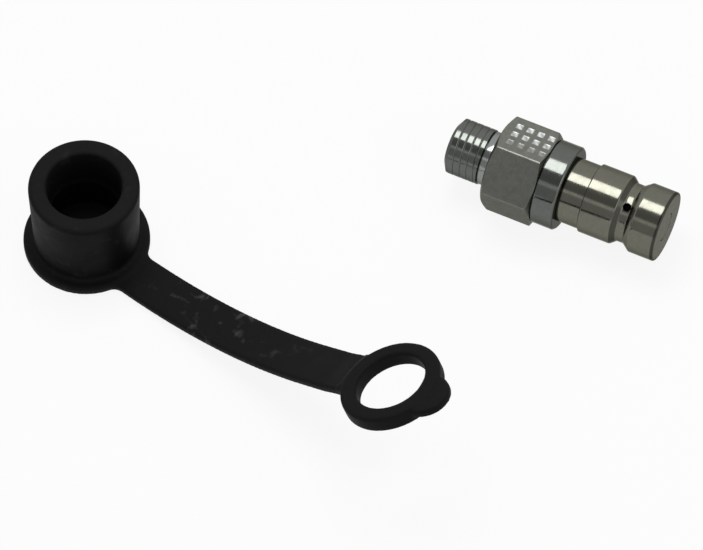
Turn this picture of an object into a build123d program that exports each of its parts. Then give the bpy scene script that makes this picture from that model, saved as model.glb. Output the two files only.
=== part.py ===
from build123d import *
import math
import os

# Hydraulic test point coupling: a plug-in test nipple with a flush face
# valve and its moulded rubber dust cap, lying taken off beside it.
# Frame: origin on the nipple's axis at the hexagon's sealing shoulder,
# +X along the axis towards the nose, +Z up. Millimetres.

# ---- port end and hexagon
thread_d = 12.0            # M12 x 1.5 stud, modelled at its major diameter
stud_length = 9.9          # from the sealing shoulder to the stud's end
stud_chamfer = 0.9
undercut_d = 11.5
undercut_length = 2.1
across_flats = 18.0        # cut from 18 mm hexagon bar
hex_length = 11.2
hex_turn = 14.7            # the top flat leans this far towards +Y, degrees
collar_d = 18.0
collar_length = 4.9
collar_chamfer = 0.35
seat_face_d = 17.2         # sealing shoulder, inside the rear corner chamfer
rear_chamfer_angle = 30.0  # the hexagon's corners, turned back at each end
front_chamfer_angle = 20.0

# ---- the screwed-in barrel, stations measured on from the collar's end
neck_d = 13.8
neck_length = 5.0
land_d = 14.8
land_length = 6.8
groove_d = 12.6
groove_rear_run = 1.3
groove_floor_length = 1.5
groove_front_run = 1.6
nose_d = 15.0
nose_length = 5.5
nose_chamfer = 0.4
land_edge = 0.15
spanner_hole_d = 1.7
spanner_hole_depth = 1.3
spanner_hole_turn = 67.0   # from level, towards the side that faces -Y

# ---- bores
flow_d = 4.0               # port drilling
flow_chamfer = 0.5
chamber_d = 9.8            # behind the barrel, in the hexagon
chamber_start = 4.0
chamber_cone_length = 1.5
socket_start = 6.0
shank_d = 12.6             # barrel's threaded shank and its socket
shank_chamfer = 0.6
guide_bore_d = 9.8
guide_bore_end = 23.0
valve_bore_d = 8.4
mouth_d = 6.0
seat_offset = 2.1          # nose face back to where the 45 degree seat starts

# ---- valve
face_recess = 0.1
valve_fit = 0.05           # running fit on radius
head_edge = 0.1
stem_d = 3.0
stem_chamfer = 0.3
stem_overrun = 1.0         # past the guide disc's rear face
flange_d = 7.4
flange_thickness = 1.0
flange_setback = 0.2       # from the barrel's seat
seal_wire_d = 1.1
seal_mean_r = 2.9
seal_setback = 0.15
seal_squeeze = 0.04        # taken off the seal's wire by its groove
spring_end_gap = 0.05
spring_wire_d = 0.7
spring_mean_d = 5.8
spring_turns = 5.0
guide_hub_d = 4.8
guide_hub_length = 3.6
guide_hub_chamfer = 0.3
guide_disc_thickness = 2.0
flow_hole_d = 1.5
flow_hole_count = 6
flow_hole_circle_d = 6.9
circlip_thickness = 0.8
circlip_groove_d = 10.8
circlip_inner_d = 8.6
circlip_gap = 3.0

# ---- shank sealing
oring_wire_d = 0.88
oring_groove_start = 6.7
oring_groove_length = 2.0
oring_groove_d = 10.8
oring_setback = 0.1
backup_thickness = 0.8

# ---- dust cap, in its own frame: s out along the strap, h up from the table
cap_x = -70.65
cap_y = -47.4
strap_heading = -13.6      # degrees from +X towards -Y
cap_height = 21.2
rim_d = 22.8
waist_d = 21.6
cap_flange_d = 26.0
cap_flange_thickness = 2.2
cap_bore_d = 15.1
cap_deep_bore_d = 14.8      # below the bead, where it grips the nose
cap_mouth_d = 15.9
cap_lead_in = 2.5
cap_floor = 3.4
bead_height = 0.45
bead_half_width = 0.9
rim_round = 0.7
flange_round = 0.9
waist_round = 0.9
strap_root_width = 8.8     # it widens evenly from the cap to the ring
strap_neck_width = 9.3
strap_offset = 0.35        # the strap sits this far to one side of the cap's middle
strap_thickness = 1.9
root_blend_reach = 8.0     # the root's widening, past the flange's edge
root_fillet = 2.5
root_inset = 0.3
strap_flat_end = 13.0      # s where the strap starts to curl up
strap_bend_r = 93.5
strap_rise = 30.3          # slope after the bend, degrees
ring_reach = 22.9          # bend's end to the ring's centre, along the slope
ring_slope = 26.0          # the ring itself lies a little flatter
ring_roll = 1.5            # and is twisted this much about the strap
ring_inner_d = 14.8
ring_outer_d = 21.2
ring_thickness = 2.9
neck_blend_run = 3.2       # the neck's widening, before the ring's edge
neck_inset = 0.3
neck_fillet = 3.5
tab_width = 9.0
tab_reach = 14.1           # ring's centre to the tab's tip
tab_offset = 0.6
tab_fillet = 2.5
web_thickness = 1.9        # tab and neck, thinner than the ring

# ---- derived stations along the nipple's axis
hex_circle_r = across_flats / math.sqrt(3)
collar_end = hex_length + collar_length
neck_end = collar_end + neck_length
land_end = neck_end + land_length
floor_start = land_end + groove_rear_run
floor_end = floor_start + groove_floor_length
nose_start = floor_end + groove_front_run
nose_face = nose_start + nose_length
seat_start = nose_face - seat_offset
seat_end = seat_start - (valve_bore_d - mouth_d) / 2
guide_disc_start = guide_bore_end - guide_disc_thickness
table_z = -hex_circle_r * math.sin(math.radians(30 + 90 - hex_turn))

radial_plane = Plane.XY    # turned profiles: x along the axis, y outwards


def profile(points):
    """A closed outline of (station, radius) points, to be turned about X."""
    with BuildSketch(radial_plane) as outline:
        with BuildLine():
            Polyline(*points, close=True)
        make_face()
    return outline.sketch


def save(block, label):
    block.part.label = label
    export_step(block.part, f"parts/{label}.step")


os.makedirs("parts", exist_ok=True)

# ---------------------------------------------------------------- hex body
rear_run = (hex_circle_r - seat_face_d / 2) * math.tan(math.radians(rear_chamfer_angle))
front_run = (hex_circle_r - collar_d / 2) * math.tan(math.radians(front_chamfer_angle))
with BuildPart() as hex_body:
    with BuildSketch(Plane.YZ):
        RegularPolygon(radius=hex_circle_r, side_count=6, rotation=-hex_turn)
    extrude(amount=hex_length)
    # the corners are turned back at both ends, more at the sealing shoulder
    chamfered = profile([
        (0, 0),
        (0, seat_face_d / 2),
        (rear_run, hex_circle_r),
        (hex_length - front_run, hex_circle_r),
        (hex_length, collar_d / 2),
        (hex_length, 0),
    ])
    revolve(chamfered, axis=Axis.X, mode=Mode.INTERSECT)
    collar = profile([
        (hex_length, 0),
        (hex_length, collar_d / 2),
        (collar_end - collar_chamfer, collar_d / 2),
        (collar_end, collar_d / 2 - collar_chamfer),
        (collar_end, 0),
    ])
    revolve(collar, axis=Axis.X)
    stud = profile([
        (0, 0),
        (0, undercut_d / 2),
        (-undercut_length, undercut_d / 2),
        (-undercut_length - (thread_d - undercut_d) / 2, thread_d / 2),
        (-stud_length + stud_chamfer, thread_d / 2),
        (-stud_length, thread_d / 2 - stud_chamfer),
        (-stud_length, 0),
    ])
    revolve(stud, axis=Axis.X)
    bores = profile([
        (-stud_length, 0),
        (-stud_length, flow_d / 2 + flow_chamfer),
        (-stud_length + flow_chamfer, flow_d / 2),
        (chamber_start - chamber_cone_length, flow_d / 2),
        (chamber_start, chamber_d / 2),
        (socket_start, chamber_d / 2),
        (socket_start, shank_d / 2),
        (collar_end, shank_d / 2),
        (collar_end, 0),
    ])
    revolve(bores, axis=Axis.X, mode=Mode.SUBTRACT)
save(hex_body, "hex_body")

# ----------------------------------------------------------- nipple barrel
with BuildPart() as nipple_barrel:
    barrel = profile([
        (socket_start, guide_bore_d / 2),
        (socket_start, shank_d / 2 - shank_chamfer),
        (socket_start + shank_chamfer, shank_d / 2),
        (oring_groove_start, shank_d / 2),
        (oring_groove_start, oring_groove_d / 2),
        (oring_groove_start + oring_groove_length, oring_groove_d / 2),
        (oring_groove_start + oring_groove_length, shank_d / 2),
        (collar_end, shank_d / 2),
        (collar_end, neck_d / 2),
        (neck_end, neck_d / 2),
        (neck_end, land_d / 2 - land_edge),
        (neck_end + land_edge, land_d / 2),
        (land_end, land_d / 2),
        (floor_start, groove_d / 2),
        (floor_end, groove_d / 2),
        (nose_start, nose_d / 2),
        (nose_face - nose_chamfer, nose_d / 2),
        (nose_face, nose_d / 2 - nose_chamfer),
        (nose_face, mouth_d / 2),
        (seat_start, mouth_d / 2),
        (seat_end, valve_bore_d / 2),
        (guide_bore_end, valve_bore_d / 2),
        (guide_bore_end, guide_bore_d / 2),
        (guide_disc_start, guide_bore_d / 2),
        (guide_disc_start, circlip_groove_d / 2),
        (guide_disc_start - circlip_thickness, circlip_groove_d / 2),
        (guide_disc_start - circlip_thickness, guide_bore_d / 2),
    ])
    revolve(barrel, axis=Axis.X)
    # two blind holes across the locking groove take a pin spanner
    toward_eye = (0, -math.cos(math.radians(spanner_hole_turn)),
                  math.sin(math.radians(spanner_hole_turn)))
    for side in (1, -1):
        outwards = tuple(side * c for c in toward_eye)
        hole_plane = Plane(
            origin=((floor_start + floor_end) / 2,
                    outwards[1] * groove_d / 2, outwards[2] * groove_d / 2),
            x_dir=(1, 0, 0), z_dir=outwards,
        )
        with BuildSketch(hole_plane.offset(-spanner_hole_depth)):
            Circle(spanner_hole_d / 2)
        extrude(amount=spanner_hole_depth + nose_d, mode=Mode.SUBTRACT)
save(nipple_barrel, "nipple_barrel")

# ------------------------------------------------------------ valve poppet
flange_front = seat_end - flange_setback
flange_back = flange_front - flange_thickness
seal_x = flange_front + seal_setback + seal_wire_d / 2
seal_groove_end = seal_x + seal_wire_d / 2 + seal_setback
stem_end = guide_disc_start - stem_overrun
head_r = mouth_d / 2 - valve_fit
with BuildPart() as valve_poppet:
    poppet = profile([
        (stem_end, 0),
        (stem_end, stem_d / 2 - stem_chamfer),
        (stem_end + stem_chamfer, stem_d / 2),
        (flange_back, stem_d / 2),
        (flange_back, flange_d / 2),
        (flange_front, flange_d / 2),
        (flange_front, seal_mean_r - seal_wire_d / 2),
        (seal_groove_end, seal_mean_r - seal_wire_d / 2),
        (seal_groove_end, head_r),
        (nose_face - face_recess - head_edge, head_r),
        (nose_face - face_recess, head_r - head_edge),
        (nose_face - face_recess, 0),
    ])
    revolve(poppet, axis=Axis.X)
save(valve_poppet, "valve_poppet")

with BuildPart() as poppet_seal:
    with BuildSketch(radial_plane):
        with Locations((seal_x, seal_mean_r)):
            Circle(seal_wire_d / 2 - seal_squeeze)
    revolve(axis=Axis.X)
save(poppet_seal, "poppet_seal")

# ------------------------------------------------------------ valve spring
spring_start = guide_bore_end + spring_end_gap
spring_end = flange_back - spring_end_gap
spring_pitch = (spring_end - spring_start - spring_wire_d) / spring_turns
with BuildPart() as valve_spring:
    with BuildLine() as coil:
        Helix(
            pitch=spring_pitch,
            height=spring_pitch * spring_turns,
            radius=spring_mean_d / 2,
            center=(spring_start + spring_wire_d / 2, 0, 0),
            direction=(1, 0, 0),
        )
    with BuildSketch(Plane(origin=coil.line @ 0, z_dir=coil.line % 0)):
        Circle(spring_wire_d / 2)
    sweep(path=coil.line, is_frenet=True)
save(valve_spring, "valve_spring")

# ------------------------------------------------------------ spring guide
with BuildPart() as spring_guide:
    spider = profile([
        (guide_disc_start, stem_d / 2 + valve_fit),
        (guide_disc_start, guide_bore_d / 2),
        (guide_bore_end, guide_bore_d / 2),
        (guide_bore_end, guide_hub_d / 2),
        (guide_disc_start + guide_hub_length, guide_hub_d / 2 - guide_hub_chamfer),
        (guide_disc_start + guide_hub_length, stem_d / 2 + valve_fit),
    ])
    revolve(spider, axis=Axis.X)
    with BuildSketch(Plane.YZ.offset(guide_disc_start)):
        with PolarLocations(flow_hole_circle_d / 2, flow_hole_count):
            Circle(flow_hole_d / 2)
    extrude(amount=guide_disc_thickness, mode=Mode.SUBTRACT)
save(spring_guide, "spring_guide")

with BuildPart() as retaining_ring:
    with BuildSketch(Plane.YZ.offset(guide_disc_start - circlip_thickness)):
        Circle(circlip_groove_d / 2)
        Circle(circlip_inner_d / 2, mode=Mode.SUBTRACT)
        with Locations((0, -circlip_groove_d / 2)):
            Rectangle(circlip_gap, circlip_groove_d / 2, mode=Mode.SUBTRACT)
    extrude(amount=circlip_thickness)
save(retaining_ring, "retaining_ring")

# ----------------------------------------------------------- shank sealing
with BuildPart() as barrel_seal:
    with BuildSketch(radial_plane):
        with Locations((oring_groove_start + oring_wire_d / 2 + oring_setback,
                        (oring_groove_d / 2 + shank_d / 2) / 2)):
            Circle(oring_wire_d / 2)
    revolve(axis=Axis.X)
save(barrel_seal, "barrel_seal")

backup_start = oring_groove_start + oring_groove_length - backup_thickness
with BuildPart() as backup_ring:
    with BuildSketch(Plane.YZ.offset(backup_start)):
        Circle(shank_d / 2)
        Circle(oring_groove_d / 2, mode=Mode.SUBTRACT)
    extrude(amount=backup_thickness)
save(backup_ring, "backup_ring")

# ---------------------------------------------------------------- dust cap
heading = math.radians(strap_heading)
rise = math.radians(strap_rise)
along = Vector(math.cos(heading), math.sin(heading), 0)
cap_base = Vector(cap_x, cap_y, table_z)
# side_plane looks across the strap: its x runs along s and its y upwards
side_plane = Plane(origin=cap_base, x_dir=along, z_dir=along.cross(Vector(0, 0, 1)))
ground_plane = Plane(origin=cap_base, x_dir=along, z_dir=(0, 0, 1))
bend_end_s = strap_flat_end + strap_bend_r * math.sin(rise)
bend_end_h = strap_thickness / 2 + strap_bend_r * (1 - math.cos(rise))
ring_s = bend_end_s + ring_reach * math.cos(rise)
ring_h = bend_end_h + ring_reach * math.sin(rise)
tilt = math.radians(ring_slope)
ring_along = along * math.cos(tilt) + Vector(0, 0, math.sin(tilt))
across = Vector(0, 0, 1).cross(along)
ring_plane = Plane(
    origin=cap_base + along * ring_s + Vector(0, 0, ring_h),
    x_dir=ring_along,
    z_dir=ring_along.cross(across).rotate(Axis((0, 0, 0), ring_along), ring_roll),
)
strap_into_ring = ring_reach - (ring_inner_d + ring_outer_d) / 4
neck_blend_start = ring_outer_d / 2 + neck_blend_run
bead_h = cap_floor + (nose_face - (floor_start + floor_end) / 2)

# the strap, level at first and then curling up: one band of even
# thickness seen from the side, cut to its tapered outline from above
with BuildPart() as strap:
    with BuildSketch(side_plane):
        with BuildLine():
            bend_centre = (strap_flat_end, strap_thickness / 2 + strap_bend_r)
            lower = CenterArc(bend_centre, strap_bend_r + strap_thickness / 2,
                              -90, strap_rise)
            upper = CenterArc(bend_centre, strap_bend_r - strap_thickness / 2,
                              -90, strap_rise)
            Polyline(lower @ 0, (0, 0), (0, strap_thickness), upper @ 0)
            lower_end = lower @ 1 + (lower % 1) * strap_into_ring
            upper_end = upper @ 1 + (upper % 1) * strap_into_ring
            Polyline(lower @ 1, lower_end, upper_end, upper @ 1)
        make_face()
    extrude(amount=strap_neck_width, both=True)
    with BuildSketch(ground_plane):
        with BuildLine():
            Polyline(
                (0, strap_root_width / 2 - strap_offset),
                (ring_s, strap_neck_width / 2 - strap_offset),
                (ring_s, -strap_neck_width / 2 - strap_offset),
                (0, -strap_root_width / 2 - strap_offset),
                close=True,
            )
        make_face()
    extrude(amount=ring_h + ring_outer_d, mode=Mode.INTERSECT)

with BuildPart() as dust_cap:
    # the cup: a turned wall with a rounded base flange
    with BuildSketch(side_plane):
        with BuildLine():
            Polyline(
                (0, 0),
                (cap_flange_d / 2, 0),
                (cap_flange_d / 2, cap_flange_thickness),
                (waist_d / 2, cap_flange_thickness),
                (rim_d / 2, cap_height),
                (cap_mouth_d / 2, cap_height),
                (cap_bore_d / 2, cap_height - cap_lead_in),
                (cap_bore_d / 2, bead_h + bead_half_width),
                (cap_bore_d / 2 - bead_height, bead_h + bead_half_width / 3),
                (cap_bore_d / 2 - bead_height, bead_h - bead_half_width / 3),
                (cap_deep_bore_d / 2, bead_h - bead_half_width),
                (cap_deep_bore_d / 2, cap_floor),
                (0, cap_floor),
                close=True,
            )
        make_face()
    revolve(axis=Axis(cap_base, (0, 0, 1)))
    rim_edges = dust_cap.edges().filter_by(GeomType.CIRCLE).group_by(Axis.Z)[-1]
    fillet(rim_edges, rim_round)
    flange_edge = dust_cap.edges().filter_by(GeomType.CIRCLE).filter_by(
        lambda e: abs(e.radius - cap_flange_d / 2) < 0.01
    )
    fillet(flange_edge.sort_by(Axis.Z)[-1], flange_round)
    waist_edge = dust_cap.edges().filter_by(GeomType.CIRCLE).filter_by(
        lambda e: abs(e.radius - waist_d / 2) < 0.01
    )
    fillet(waist_edge, waist_round)

    add(strap.part)

    # where the strap leaves the flange its corners are filled in
    with BuildSketch(ground_plane) as root:
        Circle(cap_flange_d / 2 - root_inset)
        with Locations((cap_flange_d / 4, -strap_offset)):
            Rectangle(cap_flange_d / 2 + root_blend_reach, strap_root_width)
        inner_corners = root.vertices().filter_by(
            lambda v: cap_flange_d / 4 < v.X < cap_flange_d / 2
        )
        fillet(inner_corners, root_fillet)
    extrude(amount=strap_thickness)

    # the tether ring, in its own plane
    with BuildSketch(ring_plane.offset(-ring_thickness / 2)):
        Circle(ring_outer_d / 2)
        Circle(ring_inner_d / 2, mode=Mode.SUBTRACT)
    extrude(amount=ring_thickness)
    # a thinner web through it: the blend into the strap, and the pull tab
    with BuildSketch(ring_plane.offset(-web_thickness / 2)) as web:
        Circle(ring_outer_d / 2)
        with Locations((-neck_blend_start / 2, -strap_offset)):
            Rectangle(neck_blend_start, strap_neck_width - neck_inset)
        with Locations((tab_reach - tab_width / 2, tab_offset)):
            Circle(tab_width / 2)
        neck_corners = web.vertices().filter_by(
            lambda v: -ring_outer_d / 2 < v.X < -ring_outer_d / 4
        )
        fillet(neck_corners, neck_fillet)
        tab_corners = web.vertices().filter_by(
            lambda v: ring_outer_d / 4 < v.X < ring_outer_d / 2
        )
        fillet(tab_corners, tab_fillet)
        Circle(ring_inner_d / 2, mode=Mode.SUBTRACT)
    extrude(amount=web_thickness)
save(dust_cap, "dust_cap")
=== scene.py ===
import math

import bpy
import numpy as np
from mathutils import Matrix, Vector


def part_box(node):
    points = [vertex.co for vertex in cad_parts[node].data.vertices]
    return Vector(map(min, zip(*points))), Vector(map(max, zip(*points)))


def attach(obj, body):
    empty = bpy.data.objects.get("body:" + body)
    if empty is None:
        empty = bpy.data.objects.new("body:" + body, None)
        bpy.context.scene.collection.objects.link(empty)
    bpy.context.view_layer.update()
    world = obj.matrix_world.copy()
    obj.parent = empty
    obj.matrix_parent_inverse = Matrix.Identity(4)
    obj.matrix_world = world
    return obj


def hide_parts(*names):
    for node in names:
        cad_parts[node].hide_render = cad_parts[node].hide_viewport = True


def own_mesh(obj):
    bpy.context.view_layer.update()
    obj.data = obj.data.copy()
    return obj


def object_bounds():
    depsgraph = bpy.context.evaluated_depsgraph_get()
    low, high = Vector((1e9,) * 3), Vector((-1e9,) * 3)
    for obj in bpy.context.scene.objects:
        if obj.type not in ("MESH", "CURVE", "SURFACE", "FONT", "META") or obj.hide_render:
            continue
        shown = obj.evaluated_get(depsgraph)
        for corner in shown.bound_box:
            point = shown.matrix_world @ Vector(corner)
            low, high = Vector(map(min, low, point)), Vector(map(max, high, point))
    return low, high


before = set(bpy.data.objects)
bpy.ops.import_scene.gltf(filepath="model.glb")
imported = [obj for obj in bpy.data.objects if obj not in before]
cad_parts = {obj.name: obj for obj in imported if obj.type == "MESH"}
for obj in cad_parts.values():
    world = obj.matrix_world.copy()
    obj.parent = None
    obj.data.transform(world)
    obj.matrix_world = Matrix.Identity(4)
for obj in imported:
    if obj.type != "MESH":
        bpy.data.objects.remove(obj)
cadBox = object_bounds()
mm = 0.001
print("frame loaded:", len(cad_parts), "parts")


def eased(points, radii, steps=5):
    # each corner becomes a short quadratic curve: (1-t)^2 a + 2t(1-t) corner + t^2 b, where a and b
    # lie one radius along the two edges, or 0.3 of the shorter edge if that is less; one more
    # point, 1.5 radii out, keeps the flats flat
    p = np.asarray(points, float)
    r = np.broadcast_to(np.asarray(radii, float), (len(p),))[:, None]
    back = np.roll(p, 1, 0) - p
    on = np.roll(p, -1, 0) - p
    backLen = np.linalg.norm(back, axis=1, keepdims=True)
    onLen = np.linalg.norm(on, axis=1, keepdims=True)
    r = np.minimum(r, np.minimum(backLen, onLen) * 0.3)
    back, on = back / backLen, on / onLen
    t = np.linspace(0, 1, steps)[None, :, None]
    a, b = (p + back * r)[:, None], (p + on * r)[:, None]
    curve = (1 - t) ** 2 * a + 2 * t * (1 - t) * p[:, None] + t ** 2 * b
    full = np.concatenate([(p + back * r * 1.5)[:, None], curve, (p + on * r * 1.5)[:, None]], 1)
    return full.reshape(-1, 2)


def gridFaces(nu, nv, closeU, closeV):
    # four corners of every cell of a u by v grid, wrapping round where it is closed
    iu = np.arange(nu if closeU else nu - 1)[:, None]
    iv = np.arange(nv if closeV else nv - 1)[None, :]
    ju, jv = (iu + 1) % nu, (iv + 1) % nv
    return np.stack([iu * nv + iv, iu * nv + jv, ju * nv + jv, ju * nv + iv], -1).reshape(-1, 4)


def meshPiece(name, grid, closeU=False, closeV=True, caps=False, flip=False, sharp=30):
    # grid is (u, v, 3) in millimetres; caps close the first and last rows with one face each
    nu, nv = grid.shape[:2]
    quads = gridFaces(nu, nv, closeU, closeV)
    faces = quads.tolist()
    if caps:
        faces += [list(range(nv))[::-1], list(range((nu - 1) * nv, nu * nv))]
    if flip:
        faces = [f[::-1] for f in faces]
    data = bpy.data.meshes.new(name)
    data.from_pydata((grid.reshape(-1, 3) * mm).tolist(), [], faces)
    data.validate()
    data.shade_smooth()
    if sharp:
        data.set_sharp_from_angle(angle=math.radians(sharp))
    piece = bpy.data.objects.new(name, data)
    bpy.context.scene.collection.objects.link(piece)
    return piece


def roundTurn(count):
    # evenly spaced angles, once round
    return np.linspace(0, 2 * np.pi, count, endpoint=False)


def spotsOf(piece):
    # the place of every vertex, in millimetres
    spots = np.empty(len(piece.data.vertices) * 3)
    piece.data.vertices.foreach_get("co", spots)
    return spots.reshape(-1, 3) / mm


def paint(piece, name, values):
    # one number per vertex, which a material can read
    layer = piece.data.attributes.new(name, "FLOAT", "POINT")
    layer.data.foreach_set("value", np.asarray(values, np.float32).ravel())


def baked(piece):
    # the piece's modifiers are applied to its mesh
    graph = bpy.context.evaluated_depsgraph_get()
    made = bpy.data.meshes.new_from_object(piece.evaluated_get(graph))
    piece.modifiers.clear()
    piece.data = made


def smoothStep(a, b, x):
    # 0 below a, 1 above b, an S-shaped ramp between: 3k^2 - 2k^3
    k = np.clip((x - a) / (b - a), 0, 1)
    return k * k * (3 - 2 * k)


def dress(piece, material, slot, body, *nodes):
    # a piece gets its material, its body and the nodes that it stands for; its slot is not used
    piece.data.materials.clear()
    piece.data.materials.append(material)
    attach(piece, body)
    if nodes:
        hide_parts(*nodes)


def linear(code):
    # an sRGB hex colour as linear light: c/12.92 in the darks, ((c + 0.055) / 1.055)^2.4 above
    c = np.array([int(code[i:i + 2], 16) for i in (1, 3, 5)]) / 255
    c = np.where(c <= 0.04045, c / 12.92, ((c + 0.055) / 1.055) ** 2.4)
    return (*c.tolist(), 1.0)


def addNode(tree, kind, settings=None, inputs=None):
    # adds a node; inputs are values, or sockets to link from
    node = tree.nodes.new(kind)
    for key, value in (settings or {}).items():
        setattr(node, key, value)
    for key, value in (inputs or {}).items():
        if isinstance(value, bpy.types.NodeSocket):
            tree.links.new(value, node.inputs[key])
        else:
            node.inputs[key].default_value = value
    return node


def emptyTree(owner):
    # the cleared node tree of a material or a world
    owner.use_nodes = True
    owner.node_tree.nodes.clear()
    return owner.node_tree


def newMaterial(name):
    material = bpy.data.materials.new(name)
    tree = emptyTree(material)
    shader = addNode(tree, "ShaderNodeBsdfPrincipled")
    addNode(tree, "ShaderNodeOutputMaterial", None, {"Surface": shader.outputs["BSDF"]})
    return material, tree, shader


steelLook = {
    "edge": (0.45, 0.45, 0.43, 1.0),    # oil film: the faces don't whiten where seen aslant
    # near-black for painted shade in recesses, corners and on the collar's end face
    "paintedShade": "#101110",
    "bareMetalAndHighlight": "#dfe3e3",       # metal left bright by the stamping; on the undercut it is a painted highlight
    "mottle": 1.1,            # mm, patches in the plating
    "smoother": 0.8,          # how the patches change the roughness
    "rougher": 1.3,
    "matteRough": 0.22,       # added roughness of matte faces
}


def platedSteel(name, code, shade, roughness, marks, depth, matte=None):
    # plated bar steel: soft-edged reflections and patches a little duller than the rest. The tool
    # leaves rings, a noise that hardly changes round the axis, coarser than real ones so that they
    # show. Faces as drawn or faced off are greyer and duller: the attribute matte is 1 there.
    material, tree, shader = newMaterial(name)
    where = addNode(tree, "ShaderNodeTexCoord").outputs["Object"]
    patch = addNode(tree, "ShaderNodeTexNoise", None, {
        "Vector": where, "Scale": 1 / (steelLook["mottle"] * mm), "Detail": 5.0, "Roughness": 0.6})
    stretched = addNode(tree, "ShaderNodeMapping", None, {
        "Vector": where, "Scale": tuple(k / (marks * mm) for k in (1.0, 0.02, 0.02))})
    rings = addNode(tree, "ShaderNodeTexNoise", None, {
        "Vector": stretched.outputs["Vector"], "Scale": 1.0, "Detail": 3.0})
    tint = addNode(tree, "ShaderNodeMix", {"data_type": "RGBA"}, {
        "Factor": patch.outputs["Fac"], "A": linear(code), "B": linear(shade)})
    drawn = addNode(tree, "ShaderNodeAttribute", {"attribute_name": "matte"}).outputs["Fac"]
    bar = addNode(tree, "ShaderNodeMix", {"data_type": "RGBA"}, {
        "Factor": patch.outputs["Fac"], "A": linear(matte or code), "B": linear(shade)})
    skin = addNode(tree, "ShaderNodeMix", {"data_type": "RGBA"}, {
        "Factor": drawn, "A": tint.outputs["Result"], "B": bar.outputs["Result"]})
    # the attribute paintedShade mixes towards near-black: painted shade in recesses, corners and on
    # the collar's end face
    paintedShade = addNode(tree, "ShaderNodeAttribute", {"attribute_name": "paintedShade"})
    shaded = addNode(tree, "ShaderNodeMix", {"data_type": "RGBA"}, {
        "Factor": paintedShade.outputs["Fac"], "A": skin.outputs["Result"],
        "B": linear(steelLook["paintedShade"])})
    # the attribute stampAndHighlight mixes towards bright metal: the stamped marks, and a painted
    # highlight on the undercut
    stampAndHighlight = addNode(tree, "ShaderNodeAttribute", {"attribute_name": "stampAndHighlight"})
    bareMetalAndHighlight = addNode(tree, "ShaderNodeMix", {"data_type": "RGBA"}, {
        "Factor": stampAndHighlight.outputs["Fac"], "A": shaded.outputs["Result"],
        "B": linear(steelLook["bareMetalAndHighlight"])})
    rough = addNode(tree, "ShaderNodeMapRange", None, {
        "Value": patch.outputs["Fac"], "From Min": 0.3, "From Max": 0.7,
        "To Min": roughness * steelLook["smoother"], "To Max": roughness * steelLook["rougher"]})
    rougher = addNode(tree, "ShaderNodeMath", {"operation": "MULTIPLY_ADD"}, {
        0: drawn, 1: steelLook["matteRough"], 2: rough.outputs["Result"]})
    bump = addNode(tree, "ShaderNodeBump", None, {
        "Height": rings.outputs["Fac"], "Strength": depth, "Distance": 0.01 * mm})
    tree.links.new(bareMetalAndHighlight.outputs["Result"], shader.inputs["Base Color"])
    tree.links.new(rougher.outputs["Value"], shader.inputs["Roughness"])
    tree.links.new(bump.outputs["Normal"], shader.inputs["Normal"])
    shader.inputs["Metallic"].default_value = 1.0
    shader.inputs["Specular Tint"].default_value = steelLook["edge"]
    return material


zincSteel = platedSteel("zincPlatedSteel", "#696c68", "#5a5d59", 0.13, 0.35, 0.2, "#82837b")
barrelSteel = platedSteel("turnedBarrelSteel", "#737369", "#62625a", 0.13, 0.30, 0.2, "#8c8d83")
poppetSteel = platedSteel("groundPoppetSteel", "#83847a", "#6f7067", 0.34, 0.2, 0.3)
guideSteel = platedSteel("turnedGuideSteel", "#7c7e80", "#66686a", 0.25, 0.3, 0.3)
springSteel = platedSteel("drawnSpringWire", "#6c6e70", "#555759", 0.25, 0.5, 0.3)

rubberLook = {
    "body": "#141414",        # carbon-black rubber, moulded
    "wall": "#080808",        # painted shade on the cup's upright outside
    "worn": "#19191a",        # a greyer bloom on what is handled
    "scuff": "#444447",
    "grain": 0.18,            # mm, the mould's fine texture
    "bloom": 6.0,             # mm, patches of bloom
    "scuffSize": 2.6,         # mm
    "scuffFrom": 0.57,        # the noise values between which a scuff fades in
    "scuffTo": 0.78,
    "scuffMost": 0.9,
    "roughness": 0.56,
    "sealRoughness": 0.4,
    "gloss": 0.05,            # weak reflections: the surface is finely textured
}


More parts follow.
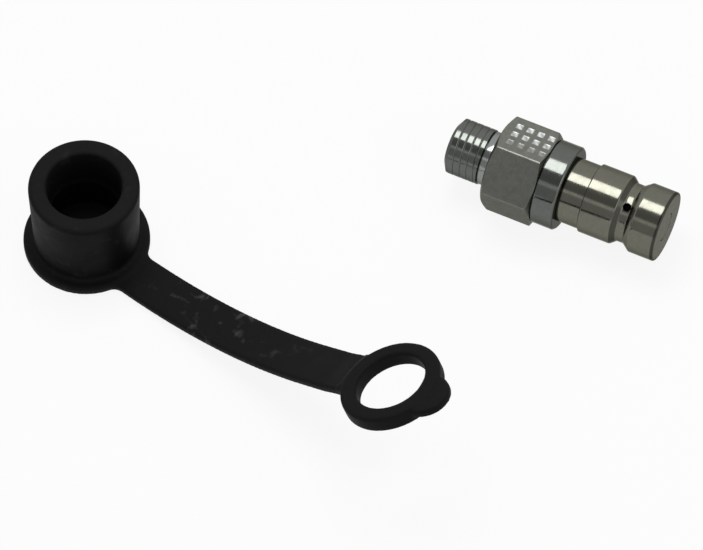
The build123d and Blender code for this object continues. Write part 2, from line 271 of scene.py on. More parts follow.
def mouldedRubber(name, body, worn, roughness):
    # moulded black rubber: low, broad sheen, a fine grain from the mould, greyish bloom in patches
    # and a few light scuffs
    material, tree, shader = newMaterial(name)
    where = addNode(tree, "ShaderNodeTexCoord").outputs["Object"]
    bloom = addNode(tree, "ShaderNodeTexNoise", None, {
        "Vector": where, "Scale": 1 / (rubberLook["bloom"] * mm), "Detail": 6.0, "Roughness": 0.65})
    grain = addNode(tree, "ShaderNodeTexNoise", None, {
        "Vector": where, "Scale": 1 / (rubberLook["grain"] * mm), "Detail": 2.0})
    dusty = addNode(tree, "ShaderNodeMix", {"data_type": "RGBA"}, {
        "Factor": bloom.outputs["Fac"], "A": linear(body), "B": linear(worn)})
    # wall darkens the cup's upright outside: painted shade
    wall = addNode(tree, "ShaderNodeAttribute", {"attribute_name": "wall"})
    tint = addNode(tree, "ShaderNodeMix", {"data_type": "RGBA"}, {
        "Factor": wall.outputs["Fac"], "A": dusty.outputs["Result"],
        "B": linear(rubberLook["wall"])})
    rubbed = addNode(tree, "ShaderNodeAttribute", {"attribute_name": "rubbed"})
    speck = addNode(tree, "ShaderNodeTexNoise", None, {
        "Vector": where, "Scale": 1 / (rubberLook["scuffSize"] * mm), "Detail": 2.5,
        "Roughness": 0.55, "Distortion": 0.3})
    scuff = addNode(tree, "ShaderNodeMapRange", {"interpolation_type": "SMOOTHSTEP"}, {
        "Value": speck.outputs["Fac"], "From Min": rubberLook["scuffFrom"],
        "From Max": rubberLook["scuffTo"], "To Max": rubberLook["scuffMost"]})
    marks = addNode(tree, "ShaderNodeMath", {"operation": "MULTIPLY"}, {
        0: scuff.outputs["Result"], 1: rubbed.outputs["Fac"]})
    marked = addNode(tree, "ShaderNodeMix", {"data_type": "RGBA"}, {
        "Factor": marks.outputs["Value"], "A": tint.outputs["Result"],
        "B": linear(rubberLook["scuff"])})
    rough = addNode(tree, "ShaderNodeMapRange", None, {
        "Value": bloom.outputs["Fac"], "From Min": 0.3, "From Max": 0.7,
        "To Min": roughness - 0.05, "To Max": roughness + 0.08})
    bump = addNode(tree, "ShaderNodeBump", None, {
        "Height": grain.outputs["Fac"], "Strength": 0.35, "Distance": 0.03 * mm})
    tree.links.new(marked.outputs["Result"], shader.inputs["Base Color"])
    tree.links.new(rough.outputs["Result"], shader.inputs["Roughness"])
    tree.links.new(bump.outputs["Normal"], shader.inputs["Normal"])
    shader.inputs["Specular IOR Level"].default_value = rubberLook["gloss"]
    return material


capRubber = mouldedRubber("mouldedCapRubber", rubberLook["body"], rubberLook["worn"],
                          rubberLook["roughness"])
sealRubber = mouldedRubber("sealRubber", "#151515", "#1c1c1c", rubberLook["sealRoughness"])


def skivedPlastic(name, code, shade):
    # skived white fluoroplastic: waxy, slightly uneven white
    material, tree, shader = newMaterial(name)
    where = addNode(tree, "ShaderNodeTexCoord").outputs["Object"]
    cloud = addNode(tree, "ShaderNodeTexNoise", None, {
        "Vector": where, "Scale": 1 / (0.8 * mm), "Detail": 3.0})
    tint = addNode(tree, "ShaderNodeMix", {"data_type": "RGBA"}, {
        "Factor": cloud.outputs["Fac"], "A": linear(code), "B": linear(shade)})
    tree.links.new(tint.outputs["Result"], shader.inputs["Base Color"])
    shader.inputs["Roughness"].default_value = 0.42
    return material


backupPlastic = skivedPlastic("skivedFluoroplastic", "#d8d4c8", "#c4bfb2")
print("materials made")


# hexagon body: threaded stud, undercut, hexagon and collar, one closed surface
hexBodyMake = {
    "studLength": 9.9, "threadCrest": 5.94, "threadDepth": 0.12, "pitch": 1.5, "rootShare": 0.32,
    "threadStart": -2.15, "threadStep": 0.055, "chamferFoot": 4.5, "chamferSlope": 1.6,
    "undercut": 5.74, "undercutLength": 1.95,
    "apothem": 9.0, "cornerTurned": 10.30, "hexTurn": 14.7, "hexLength": 11.2,
    "seatFace": 8.6, "rearAngle": 30.0, "foreAngle": 20.0, "foreGap": 0.12,
    "flatRows": 84, "markedAngles": 84, "plainAngles": 12,
    "collar": 9.0, "collarEnd": 16.1, "collarChamfer": 0.35,
    "markPitch": (2.38, 2.58), "markSize": (1.3, 1.3), "markDepth": 0.08, "markStart": 1.56,
    "markTop": 1.32, "markColumns": 4, "markReach": 28.5, "markMargins": (0.5, 0.3),
    "markEdge": (0.12, -0.06),          # where a pad's soft edge starts and ends, outwards
    "markShare": (0.25, 0.8, 1.0),      # how bright each row of pads is, from the lowest up
    "hatch": (1.6, 1.3), "hatchMean": 0.72,
}


def hexAngles(turn, fine, coarse):
    # angles round the axis: sixty degrees a flat, closer together near the corners, and evenly
    # fine on the top flat, which carries the stamped pads
    near = np.array([0, 0.5, 0.9, 1.4, 2.5])
    plain = np.concatenate([near, np.linspace(4.5, 55.5, coarse), 60 - near[:0:-1]])
    marked = np.concatenate([near, np.linspace(3.2, 56.8, fine), 60 - near[:0:-1]])
    first = 60 - turn
    sides = [first + 60 * k + (marked if k == 0 else plain) for k in range(6)]
    return np.radians(np.concatenate(sides))


def threadRadius(x, angle, make):
    # crest less the depth times a rounded V: the phase x/pitch - angle/turn goes from 0 at one
    # crest to 1 at the next, and an S-shaped ramp keeps the crest broad and the root narrow
    phase = (x / make["pitch"] - angle / (2 * np.pi)) % 1.0
    fold = 1 - np.abs(2 * phase - 1)
    vee = smoothStep(1.0 - make["rootShare"], 1.0, fold)
    return make["threadCrest"] - make["threadDepth"] * vee


def hexBodyPiece(make):
    # rows of points round the X axis, one row a station, from the drilling's mouth along the
    # outside and back through the socket; each row has its share of painted shade and of painted
    # highlight
    angle = hexAngles(make["hexTurn"], make["markedAngles"], make["plainAngles"])
    middle = math.radians(90 - make["hexTurn"])
    flat = (angle - middle) % (np.pi / 3)
    flat = np.minimum(flat, np.pi / 3 - flat)
    hexR = np.minimum(make["apothem"] / np.cos(flat), make["cornerTurned"])
    rows = []

    def row(x, r, shadeShare=0.0, paintedHighlight=0.0):
        rows.append(np.stack(np.broadcast_arrays(x, r, shadeShare, paintedHighlight, angle)[:4], -1))

    # stud: end face, then the thread, whose crests the end chamfer cuts back
    end = -make["studLength"]
    for x, r in ((0.5, 2.0), (0.04, 2.46), (0, 2.5), (0, 2.6), (0, 4.3), (0, 4.42)):
        row(end + x, r)
    under, slope = make["undercut"], make["chamferSlope"]
    for x in np.arange(end + 0.03, make["threadStart"], make["threadStep"]):
        r = np.minimum(threadRadius(x, angle, make), make["chamferFoot"] + (x - end) * slope)
        r = np.minimum(r, under + 0.02 + (make["threadStart"] - x) * slope)
        # painted shade in the thread's roots, fading in over the first turns
        row(x, r, smoothStep(5.90, 5.80, r) * 0.3 * smoothStep(end + 1.2, end + 1.8, x))
    # the undercut's corners get painted shade and its floor a painted highlight
    for x, r, shadeShare, paintedHighlight in ((-0.12, -0.05, 0.7, 0), (0, -0.05, 0.5, 0), (0.12, 0, 0, 0.2)):
        row(x - make["undercutLength"], under + r, shadeShare, paintedHighlight)
    for x, r, shadeShare, paintedHighlight in ((-0.35, 0, 0, 0.2), (-0.1, -0.02, 0.2, 0), (-0.04, -0.06, 0.8, 0),
                             (0, 0.1, 0.6, 0)):
        row(x, under + r, shadeShare, paintedHighlight)
    row(0, make["seatFace"] - 0.1)
    row(0.02, make["seatFace"])

    # hexagon: on each angle the rear chamfer ends where the cone meets the flat, so the edge
    # between them is the true curve; the fore chamfer starts a hair early, so that its rows stay
    # apart where flat and collar meet
    rear = (hexR - make["seatFace"]) * math.tan(math.radians(make["rearAngle"]))
    chamfer = (hexR - make["collar"]) * math.tan(math.radians(make["foreAngle"]))
    shoulder = make["hexLength"] - make["foreGap"]
    fore = shoulder - chamfer - 0.03
    for k in (0.25, 0.5, 0.75, 0.97):
        row(rear * k, make["seatFace"] + (hexR - make["seatFace"]) * k)
    for k in (0.006, *np.linspace(0, 1, make["flatRows"])[1:]):
        row(rear + (fore - rear) * k, hexR)
    for k in (0.03, 0.35, 0.7, 1.0):
        row(fore + (shoulder - fore) * k, hexR + (make["collar"] - hexR) * k)

    # a narrow turned line darkened with painted shade, the collar and its chamfer, then the end
    # face, darkened with painted shade
    for x, r, shadeShare in ((-0.02, -0.2, 0.9), (0.1, -0.2, 0.9), (0.22, -0.02, 0), (0.3, 0, 0),
                       (0.5, 0, 0)):
        row(make["hexLength"] + x, make["collar"] + r, shadeShare)
    last, bevel = make["collarEnd"], make["collarChamfer"]
    for x, r in ((-0.3, 0), (-0.05, 0), (0.03, -0.04)):
        row(last - bevel + x, make["collar"] + r)
    for x, r, shadeShare in ((-0.04, 0.03, 0.3), (0, -0.04, 0.5), (0, -0.2, 0.55)):
        row(last + x, make["collar"] - bevel + r, shadeShare)
    row(last, 7.1, 0.7)
    row(last, 6.31, 0.8)

    # socket, chamber and port drilling
    for x, r in ((last - 0.1, 6.3), (6.1, 6.3), (6.0, 6.2), (6.0, 5.0), (5.9, 4.9), (4.1, 4.9),
                 (4.0, 4.8), (2.55, 2.05), (2.4, 2.0)):
        row(x, r)
    x, r, shadeShare, paintedHighlight = np.moveaxis(np.array(rows), -1, 0)
    a = angle[None, :] + 0 * x

    # stamped pads on the top flat: along is the station, over is the distance from the flat's
    # middle line; each pad is pressed in with a soft edge, and its floor is left bright with a
    # slanting hatch, mean + (1 - mean) cos of a phase that grows along and across
    over = r * np.sin(middle - a)
    low, high = make["markMargins"]
    onFlat = ((np.abs(a - middle) < math.radians(make["markReach"]))
              & (x > low) & (x < make["hexLength"] - high))
    pitchX, pitchY = make["markPitch"]
    along = (x - make["markStart"]) / pitchX
    cross = (over + make["markTop"] + pitchY) / pitchY
    halfX, halfY = np.array(make["markSize"]) / 2
    soft, full = make["markEdge"]
    padX = smoothStep(halfX + soft, halfX + full, np.abs((along % 1) - 0.5) * pitchX)
    padY = smoothStep(halfY + soft, halfY + full, np.abs((cross % 1) - 0.5) * pitchY)
    share = np.array(make["markShare"])
    inRows = (along > 0) & (along < make["markColumns"]) & (cross > 0) & (cross < len(share))
    pad = np.where(onFlat & inRows, padX * padY, 0)
    mean, (wavesX, wavesY) = make["hatchMean"], make["hatch"]
    hatch = mean + (1 - mean) * np.cos(2 * np.pi * (wavesX * along + wavesY * cross))
    stampAndHighlight = pad * hatch * share[np.clip(cross, 0, len(share) - 1).astype(int)]
    y = r * np.cos(a) - pad * make["markDepth"] * math.cos(middle)
    z = r * np.sin(a) - pad * make["markDepth"] * math.sin(middle)
    piece = meshPiece("hexBody", np.stack([x, y, z], -1), closeU=True)
    drawn = smoothStep(-0.05, 0.05, x) * smoothStep(make["hexLength"], make["hexLength"] - 0.1, x)
    paint(piece, "paintedShade", shadeShare)
    # one attribute carries both the stamped pads and the undercut's painted highlight
    paint(piece, "stampAndHighlight", np.maximum(stampAndHighlight, paintedHighlight))
    paint(piece, "matte", drawn * (r > make["seatFace"] - 0.05))
    return piece


hexBody = hexBodyPiece(hexBodyMake)
dress(hexBody, zincSteel, "zinc_steel", "coupling", "hex_body")
print("hexagon body made")


# barrel: a turned sleeve with its locking groove and two pin-spanner holes
barrelMake = {
    "outline": [(6.0, 4.9), (6.0, 5.7), (6.6, 6.3), (6.7, 6.3), (6.7, 5.4), (8.7, 5.4), (8.7, 6.3),
                (16.1, 6.3), (16.1, 6.9), (21.1, 6.9), (21.1, 7.4), (27.9, 7.4), (29.2, 6.3),
                (30.7, 6.3), (32.3, 7.5), (37.8, 7.5), (37.8, 3.0), (35.7, 3.0), (34.5, 4.2),
                (23.0, 4.2), (23.0, 4.9), (21.0, 4.9), (21.0, 5.4), (20.2, 5.4), (20.2, 4.9)],
    "edge": [0.1, 0.2, 0.1, 0.05, 0.05, 0.1, 0.05, 0.05, 0.08, 0.20, 0.16, 0.22, 0.25, 0.25, 0.22,
             0.42, 0.12, 0.1, 0.1, 0.1, 0.05, 0.05, 0.05, 0.05, 0.05],
    "grooveFloor": 6.3, "holeSize": 1.7, "holeDepth": 1.3, "holeTurn": 67.0, "holeStation": 29.95,
    # painted shade in the collar's foot, at the land's step and fore flank and on the nose's
    # chamfer: stations from and to, radii from and to, and how much
    "shadeShare": [(0, 16.2, 0, 99, 0.5), (20.94, 21.26, 0, 7.15, 0.8), (28.02, 29.1, 6.2, 99, 0.6),
             (37.3, 99, 6.9, 99, 0.7)],
    "endFace": 37.75,
}


def turnedPiece(name, outline, edge, count=160):
    # the eased outline's (station, radius) points carried round the X axis
    p = eased(outline, edge)
    a = roundTurn(count)[None, :]
    x, r = p[:, :1], p[:, 1:]
    grid = np.stack([x + 0 * a, r * np.cos(a), r * np.sin(a)], -1)
    return meshPiece(name, grid, closeU=True, flip=True)


def drillPiece(make, side):
    # a plain round cutter standing across the groove, from the hole's floor to clear of the barrel
    a = roundTurn(48)[None, :, None]
    turn = math.radians(make["holeTurn"])
    out = np.array([0, -math.cos(turn), math.sin(turn)]) * side
    axis = np.array([1.0, 0, 0])
    h = np.array([make["grooveFloor"] - make["holeDepth"], 9.0])[:, None, None]
    r = make["holeSize"] / 2
    grid = (make["holeStation"] * axis + h * out + r * np.cos(a) * axis
            + r * np.sin(a) * np.cross(out, axis))
    return meshPiece("drill", grid, caps=True, sharp=0)


barrel = turnedPiece("barrelSleeve", barrelMake["outline"], barrelMake["edge"])
for side in (1, -1):
    drill = drillPiece(barrelMake, side)
    cut = barrel.modifiers.new("drill", "BOOLEAN")
    cut.object, cut.operation, cut.solver = drill, "DIFFERENCE", "EXACT"
    baked(barrel)
    bpy.data.objects.remove(drill)
barrel.data.set_sharp_from_angle(angle=math.radians(30))


def barrelShade(piece, make):
    # painted shade from 0 to 1: its bands, and all of the spanner holes, whose points lie within
    # the hole's radius of its axis
    x, y, z = spotsOf(piece).T
    r = np.hypot(y, z)
    shadeShare = 0 * x
    for low, high, inner, outer, share in make["shadeShare"]:
        shadeShare += share * ((x > low) & (x < high) & (r > inner) & (r < outer))
    turn = math.radians(make["holeTurn"])
    level = y * math.sin(turn) + z * math.cos(turn)
    inHole = np.hypot(x - make["holeStation"], level) < make["holeSize"] / 2 + 0.02
    deepest = make["grooveFloor"] - make["holeDepth"] - 0.05
    return np.clip(shadeShare + (inHole & (r > deepest)), 0, 1)


paint(barrel, "paintedShade", barrelShade(barrel, barrelMake))
paint(barrel, "matte", spotsOf(barrel)[:, 0] > barrelMake["endFace"])
dress(barrel, barrelSteel, "barrel_steel", "coupling", "nipple_barrel")
print("barrel made")


# valve spring
springMake = {"start": 23.4, "pitch": 1.9, "turns": 5.0, "radius": 2.9, "wire": 0.35,
              "seat": 23.05, "pressed": 0.70}


def springPiece(make):
    # a round wire carried along the helix x = pitch t / turn, radius out at the angle t: its
    # section's two directions point away from the X axis and square to that and to the wire
    t = np.linspace(0, 2 * np.pi * make["turns"], 241)
    lead = make["pitch"] / (2 * np.pi)
    out = np.stack([0 * t, np.cos(t), np.sin(t)], -1)
    along = np.stack([0 * t + lead / make["radius"], -np.sin(t), np.cos(t)], -1)
    side = np.cross(along / np.linalg.norm(along, axis=1, keepdims=True), out)
    centre = out * make["radius"]
    centre[:, 0] = make["start"] + lead * t
    a = roundTurn(14)[None, :, None]
    grid = centre[:, None] + make["wire"] * (np.cos(a) * out[:, None] + np.sin(a) * side[:, None])
    return meshPiece("valveSpring", grid, caps=True, sharp=40)


valveSpring = springPiece(springMake)
dress(valveSpring, springSteel, "spring_wire", "coupling", "valve_spring")
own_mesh(valveSpring)
print("valve spring made")


# parts carried over from the frame, with their own finishes
for node, material in (("valve_poppet", poppetSteel), ("poppet_seal", sealRubber),
                       ("spring_guide", guideSteel), ("retaining_ring", springSteel),
                       ("barrel_seal", sealRubber), ("backup_ring", backupPlastic)):
    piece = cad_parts[node]
    piece.data.materials.clear()
    piece.data.materials.append(material)
print("inner parts finished")


# dust cap: cup, strap, tether ring and pull tab, moulded in one
capMake = {
    "place": (-70.65, -47.4), "heading": -13.6, "voxel": 0.28,
    "outline": [(0.0, 0.0), (13.0, 0.0), (13.0, 2.2), (10.8, 2.2), (11.4, 21.2), (7.8, 21.2),
                (7.55, 18.7), (7.55, 12.15), (7.1, 11.55), (7.1, 10.95), (7.4, 10.35), (7.4, 3.4),
                (0.0, 3.4)],
    "edge": [0, 0.35, 0.95, 1.1, 0.85, 0.4, 0.9, 0.3, 0.2, 0.2, 0.3, 0.6, 0],
    "flange": 13.0, "turnCount": 192,
    # strap: half its width at the cap and at the ring, and how far it lies to one side there
    "strapThick": 1.9, "strapSoft": 0.5, "rootHalf": 4.63, "neckHalf": 5.18,
    "rootOff": 0.43, "neckOff": 0.58, "rootFillet": 2.5,
    # its line: level, then an arc, then a slope that ends short of the ring's centre
    "strapFrom": 6.0, "flatEnd": 13.0, "flatLap": 1.2, "bend": 93.5, "rise": 30.3, "reach": 22.9,
    "short": 8.6, "lift": 0.045, "liftRun": (14.0, 9.5),
    # ring, with its hole and its rim a little off its centre
    "ringSlope": 26.0, "roll": 1.5, "ringIn": 7.3, "ringOut": 10.65, "ringThick": 3.6,
    "ringSoft": 1.2, "ringSink": -0.35, "holeShift": (-0.4, 0.15), "rimShift": -0.35,
    # web under the ring, with the pull tab and the strap's neck, tucked in a hair all round
    "webThick": 1.9, "webSoft": 0.6, "webInset": 0.3, "webCount": 288,
    "rimTuck": 0.15, "neckTuck": 0.1,
    "tabAt": 9.5, "tabR": 4.6, "tabOffset": 0.35, "neckRun": 11.2,
    "tabBlend": 1.4, "neckBlend": 0.6,
    # painted shade on the cup's upright outside, by radius and height; wear: the run of the strap
    # that gets scuffed
    "wallRadii": (10.2, 12.2), "wallHeights": (2.4, 4.0, 20.3, 21.0),
    "rubbedRun": (14, 24, 34, 66), "cupReach": 15.5, "cupRubbed": 0.15,
}


def capFrame(make):
    # s runs out along the strap, w across it and h up
    t = math.radians(make["heading"])
    s = np.array([math.cos(t), math.sin(t), 0.0])
    h = np.array([0, 0, 1.0])
    x, y = make["place"]
    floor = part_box("dust_cap")[0].z / mm
    return np.array([x, y, floor]), s, np.cross(h, s), h


def cupPiece(make):
    # the eased (radius, height) outline carried round the cup's upright axis; of the seven points
    # of each corner on the axis one is kept, and a small face closes the hole left there
    p = eased(make["outline"], make["edge"])[6:-6]
    p[:, 0] = np.maximum(p[:, 0], 0.02)
    a = roundTurn(make["turnCount"])[None, :]
    base, s, w, h = capFrame(make)
    grid = (base + (p[:, :1] * np.cos(a))[..., None] * s + (p[:, :1] * np.sin(a))[..., None] * w
            + (p[:, 1:] + 0 * a)[..., None] * h)
    return meshPiece("cup", grid, caps=True, sharp=0)


def roundedBar(thick, soft):
    # a flat bar's section, from -1 to 1 across, its four edges rounded
    corners = [(-1, -thick / 2), (1, -thick / 2), (1, thick / 2), (-1, thick / 2)]
    return eased(corners, soft, 10)


def slopePoint(make, run):
    # a point of the strap's straight slope, out and up: the arc's end, bend sin(rise) on and
    # bend (1 - cos(rise)) up, and then run along the slope
    rise, bend = math.radians(make["rise"]), make["bend"]
    return (make["flatEnd"] + bend * math.sin(rise) + run * math.cos(rise),
            make["strapThick"] / 2 + bend * (1 - math.cos(rise)) + run * math.sin(rise))


def strapPiece(make):
    # the section carried along a line that is level, then an arc, then a straight slope, lifted a
    # little by the ring, which lies flatter. Each edge moves out evenly; by the flange it follows a
    # fillet: side + f - sqrt(f^2 - (centre - s)^2)
    bend, mid = make["bend"], make["strapThick"] / 2
    flat = np.linspace(make["strapFrom"], make["flatEnd"] + make["flatLap"], 60)
    early = np.arcsin(np.clip(flat - make["flatEnd"], 0, None) / bend)
    arc = np.linspace(0, math.radians(make["rise"]), 60)
    arc = arc[bend * np.sin(arc) > make["flatLap"] + 0.2]
    slope = slopePoint(make, np.linspace(0, make["reach"] - make["short"], 24)[1:])
    s = np.concatenate([flat, make["flatEnd"] + bend * np.sin(arc), slope[0]])
    h = np.concatenate([mid + bend * (1 - np.cos(early)), mid + bend * (1 - np.cos(arc)),
                        slope[1]])
    ringS = slopePoint(make, make["reach"])[0]
    left = ringS - s
    h = h + left * make["lift"] * smoothStep(*make["liftRun"], left)
    tilt = np.arctan2(np.gradient(h), np.gradient(s))
    along = s / ringS
    half = make["rootHalf"] + (make["neckHalf"] - make["rootHalf"]) * along
    off = make["rootOff"] + (make["neckOff"] - make["rootOff"]) * along
    f = make["rootFillet"]
    edges = []
    for side in (1, -1):
        edge = half - side * off
        centre = np.sqrt((make["flange"] + f) ** 2 - (edge + f) ** 2)
        near = np.clip(centre - s, 0, f * 0.9)
        edges.append(edge + f - np.sqrt(f * f - near * near))
    section = roundedBar(make["strapThick"], make["strapSoft"])
    toEdge = 1 - np.abs(section[:, 0])
    across = np.where(section[:, 0] > 0, edges[0][:, None] - toEdge, toEdge - edges[1][:, None])
    up = section[None, :, 1] + 0 * across
    base, sDir, wDir, hDir = capFrame(make)
    ds = s[:, None] - np.sin(tilt)[:, None] * up
    dh = h[:, None] + np.cos(tilt)[:, None] * up
    grid = base + ds[..., None] * sDir + across[..., None] * wDir + dh[..., None] * hDir
    return meshPiece("strap", grid, caps=True, flip=True, sharp=0)


def ringFrame(make):
    # the ring's centre and its own directions: along its slope, across it, and out of its face
    base, s, w, h = capFrame(make)
    ringS, ringH = slopePoint(make, make["reach"])
    tilt = math.radians(make["ringSlope"])
    slope = s * math.cos(tilt) + h * math.sin(tilt)
    out = np.cross(slope, w)
    roll = math.radians(make["roll"])
    rolled = out * math.cos(roll) - w * math.sin(roll)
    return base + ringS * s + ringH * h, slope, np.cross(rolled, slope), rolled


def ringSweep(name, make, outer, inner, thick, soft, sink=0.0):
    # a plate's rounded section on each ray from the ring's centre, from the hole to the outer edge;
    # the hole's own centre lies holeShift along the slope and across it
    a = roundTurn(len(outer))
    along, aside = make["holeShift"]
    inner = inner + (along * np.cos(a) + aside * np.sin(a))[:, None]
    section = roundedBar(thick, soft)
    out, up = section[:, 0][None, :], section[:, 1][None, :]
    r = np.where(out < 0, inner + (1 + out), outer[:, None] - (1 - out))
    centre, xDir, yDir, zDir = ringFrame(make)
    grid = (centre + (r * np.cos(a)[:, None])[..., None] * xDir
            + (r * np.sin(a)[:, None])[..., None] * yDir + (up + sink + 0 * r)[..., None] * zDir)
    return meshPiece(name, grid, closeU=True, sharp=0)


def webOutline(make, a, rim):
    # on each ray the web's edge is a smooth largest-of: the ring's circle, the tab's circle and
    # the strap's straight sides, joined two by two as b log(exp(p / b) + exp(q / b))
    tabX, tabY = make["tabAt"], make["tabOffset"]
    toward = tabX * np.cos(a) + tabY * np.sin(a)
    aside = tabX * np.sin(a) - tabY * np.cos(a)
    inTab = np.sqrt(np.clip(make["tabR"] ** 2 - aside ** 2, 0, None))
    tab = np.where((np.abs(aside) < make["tabR"]) & (toward > 0), toward + inTab, 0)
    edge = make["neckHalf"] - make["neckTuck"] - np.sign(np.sin(a)) * make["neckOff"]
    toSide = edge / np.maximum(np.abs(np.sin(a)), 1e-3)
    toEnd = make["neckRun"] / np.maximum(-np.cos(a), 1e-3)
    neck = np.where(np.cos(a) < 0, np.minimum(toSide, toEnd), 0)
    b, c = make["tabBlend"], make["neckBlend"]
    both = b * np.log(np.exp(rim / b) + np.exp(tab / b))
    return c * np.log(np.exp(both / c) + np.exp(neck / c))


def dustCapPiece(make):
    # cup, strap, web and ring are joined, made one skin of small cells, and smoothed
    a = roundTurn(make["webCount"])
    rim = make["ringOut"] + make["rimShift"] * np.cos(a)
    outline = webOutline(make, a, rim - make["rimTuck"])
    parts = [cupPiece(make), strapPiece(make),
             ringSweep("web", make, outline, make["ringIn"] + make["webInset"],
                       make["webThick"], make["webSoft"]),
             ringSweep("ring", make, rim, make["ringIn"], make["ringThick"],
                       make["ringSoft"], make["ringSink"])]
    with bpy.context.temp_override(active_object=parts[0], selected_editable_objects=parts):
        bpy.ops.object.join()
    piece = parts[0]
    piece.name = "dustCap"
    piece.data.name = "dustCap"
    skin = piece.modifiers.new("skin", "REMESH")
    skin.mode, skin.voxel_size, skin.use_smooth_shade = "VOXEL", make["voxel"] * mm, True
    soften = piece.modifiers.new("soften", "SMOOTH")
    soften.factor, soften.iterations = 0.5, 8
    baked(piece)
    piece.data.shade_smooth()
    return piece


def wearOf(piece, make):
    # wall is 1 on the cup's upright outside, where it paints shade; rubbed is where the strap gets
    # scuffed, from 0 to 1: it rises after the root and fades towards the ring, and the cup keeps a
    # little
    base, s, w, h = capFrame(make)
    off = spotsOf(piece) - base
    along, up = off @ s, off @ h
    r = np.hypot(along, off @ w)
    inner, outer = make["wallRadii"]
    foot, full, lip, top = make["wallHeights"]
    upright = smoothStep(foot, full, up) * smoothStep(top, lip, up)
    wall = np.where((r > inner) & (r < outer), upright, 0)
    start, most, fade, gone = make["rubbedRun"]
    strap = smoothStep(start, most, along) * (1 - smoothStep(fade, gone, along))
    return wall, np.where(r < make["cupReach"], make["cupRubbed"], strap)


dustCap = dustCapPiece(capMake)
dress(dustCap, capRubber, "cap_rubber", "coupling", "dust_cap")
wallShare, rubbedShare = wearOf(dustCap, capMake)
paint(dustCap, "wall", wallShare)
paint(dustCap, "rubbed", rubbedShare)
print("dust cap made:", len(dustCap.data.polygons), "faces")


# floor, lights and camera
studio = {
    "floor": "#f4f4f3", "floorWhite": 0.88, "worldDiffuse": 0.5,
    "floorReach": 1500.0, "floorMiddle": (-20.0, -30.0), "floorGap": 0.05,      # mm
    # lamps and cards, in metres; a card is two (y, z) lines and how bright it is
    "stripPower": 1.5, "stripSize": (0.36, 0.23), "stripAim": (-0.224, 0.170, 0.958),
    "stripFar": 0.6, "stripTarget": (0.01, 0, 0),
    "sidePower": 0.45, "sideSize": (0.4, 0.4), "sideAt": (0.55, -0.10, 0.40),
    "sideTarget": (-0.03, -0.04, 0),
    "cardEnds": (-0.7, 0.5),
    "ceilingCard": ((-0.017, 0.5), (-0.365, 0.5), 0.31),
    "frontCard": ((-0.365, 0.345), (-0.487, 0.11), 0.52),
    # camera: where it looks and how far off it stands, in mm
    "aim": (-17.45, -33.20, -7.62), "azimuth": 25.0, "elevation": 58.0, "distance": 1500.0,
    "lens": 376.55,
}


def whiteForSight(tree):
    # 1 where the ray comes from the camera, or from a mirror-like or clear surface
    path = addNode(tree, "ShaderNodeLightPath").outputs
    seen = addNode(tree, "ShaderNodeMath", {"operation": "MAXIMUM"}, {
        0: path["Is Camera Ray"], 1: path["Is Glossy Ray"]})
    return addNode(tree, "ShaderNodeMath", {"operation": "MAXIMUM"}, {
        0: seen.outputs[0], 1: path["Is Transmission Ray"]}).outputs[0]


def floorPiece(make):
    # a wide level sheet a hair under the lowest point: to the eye it mostly glows white, and its
    # matt share takes the shadow
    u = np.linspace(-make["floorReach"], make["floorReach"], 3)
    midX, midY = make["floorMiddle"]
    x, y = np.meshgrid(u + midX, u + midY, indexing="ij")
    z = 0 * x + cadBox[0].z / mm - make["floorGap"]
    piece = meshPiece("studioFloor", np.stack([x, y, z], -1), closeV=False, flip=True, sharp=0)
    material = bpy.data.materials.new("paleFloor")
    tree = emptyTree(material)
    matte = addNode(tree, "ShaderNodeBsdfDiffuse", None, {"Color": linear(make["floor"])})
    glow = addNode(tree, "ShaderNodeEmission", None, {"Color": (1, 1, 1, 1), "Strength": 1.0})
    share = addNode(tree, "ShaderNodeMath", {"operation": "MULTIPLY"}, {
        0: whiteForSight(tree), 1: make["floorWhite"]})
    mixed = addNode(tree, "ShaderNodeMixShader", None, {
        0: share.outputs[0], 1: matte.outputs[0], 2: glow.outputs[0]})
    addNode(tree, "ShaderNodeOutputMaterial", None, {"Surface": mixed.outputs[0]})
    piece.data.materials.append(material)


def studioWorld(make):
    # white where it is seen or mirrored, dimmer as the light that falls on matt surfaces
    world = bpy.data.worlds.new("studioWorld")
    bpy.context.scene.world = world
    tree = emptyTree(world)
    seen = whiteForSight(tree)
    strength = addNode(tree, "ShaderNodeMapRange", None, {
        "Value": seen, "To Min": make["worldDiffuse"], "To Max": 1.0})
    light = addNode(tree, "ShaderNodeBackground", None, {
        "Color": (1, 1, 1, 1), "Strength": strength.outputs["Result"]})
    addNode(tree, "ShaderNodeOutputWorld", None, {"Surface": light.outputs[0]})


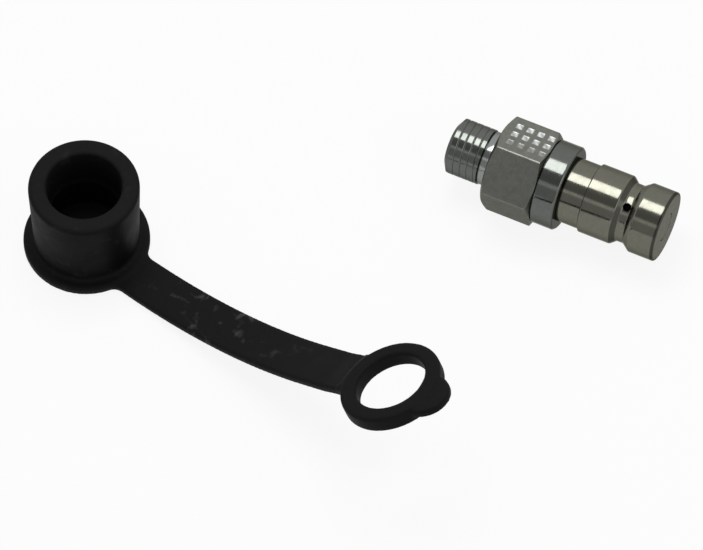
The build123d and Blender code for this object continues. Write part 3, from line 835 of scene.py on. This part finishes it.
def areaLamp(name, place, target, size, power):
    lamp = bpy.data.lights.new(name, "AREA")
    lamp.shape = "RECTANGLE"
    lamp.size, lamp.size_y = size
    lamp.energy = power
    holder = bpy.data.objects.new(name, lamp)
    bpy.context.scene.collection.objects.link(holder)
    holder.location = place
    holder.rotation_euler = (Vector(target) - Vector(place)).to_track_quat("-Z", "Y").to_euler()


def toneCard(name, ends, low, high, level):
    # a grey card beside the lamp that only reflections see, between two (y, z) lines
    x = np.array(ends)[:, None]
    y, z = np.array([low, high]).T[:, None]
    grid = np.stack(np.broadcast_arrays(x, y, z), -1)
    card = meshPiece(name, grid / mm, closeV=False, sharp=0)
    material = bpy.data.materials.new(name)
    tree = emptyTree(material)
    tone = addNode(tree, "ShaderNodeEmission", None, {"Color": (1, 1, 1, 1), "Strength": level})
    addNode(tree, "ShaderNodeOutputMaterial", None, {"Surface": tone.outputs[0]})
    card.data.materials.append(material)
    card.visible_camera = card.visible_diffuse = False
    card.visible_shadow = card.visible_transmission = False


floorPiece(studio)
studioWorld(studio)
strip = Vector(studio["stripAim"]).normalized() * studio["stripFar"]
areaLamp("stripLamp", strip, studio["stripTarget"], studio["stripSize"], studio["stripPower"])
areaLamp("sideLamp", studio["sideAt"], studio["sideTarget"], studio["sideSize"],
         studio["sidePower"])
for card in ("ceilingCard", "frontCard"):
    toneCard(card, studio["cardEnds"], *studio[card])

azimuth, elevation = math.radians(studio["azimuth"]), math.radians(studio["elevation"])
back = Vector((math.sin(azimuth) * math.cos(elevation), -math.cos(azimuth) * math.cos(elevation),
               math.sin(elevation)))
lens = bpy.data.cameras.new("camera")
lens.sensor_width, lens.lens = 36.0, studio["lens"]
lens.clip_start, lens.clip_end = 0.1, 10.0
camera = bpy.data.objects.new("camera", lens)
bpy.context.scene.collection.objects.link(camera)
camera.location = (Vector(studio["aim"]) + back * studio["distance"]) * mm
camera.rotation_euler = (-back).to_track_quat("-Z", "Y").to_euler()
bpy.context.scene.camera = camera
bpy.context.scene.view_settings.view_transform = "Standard"
print("studio made")
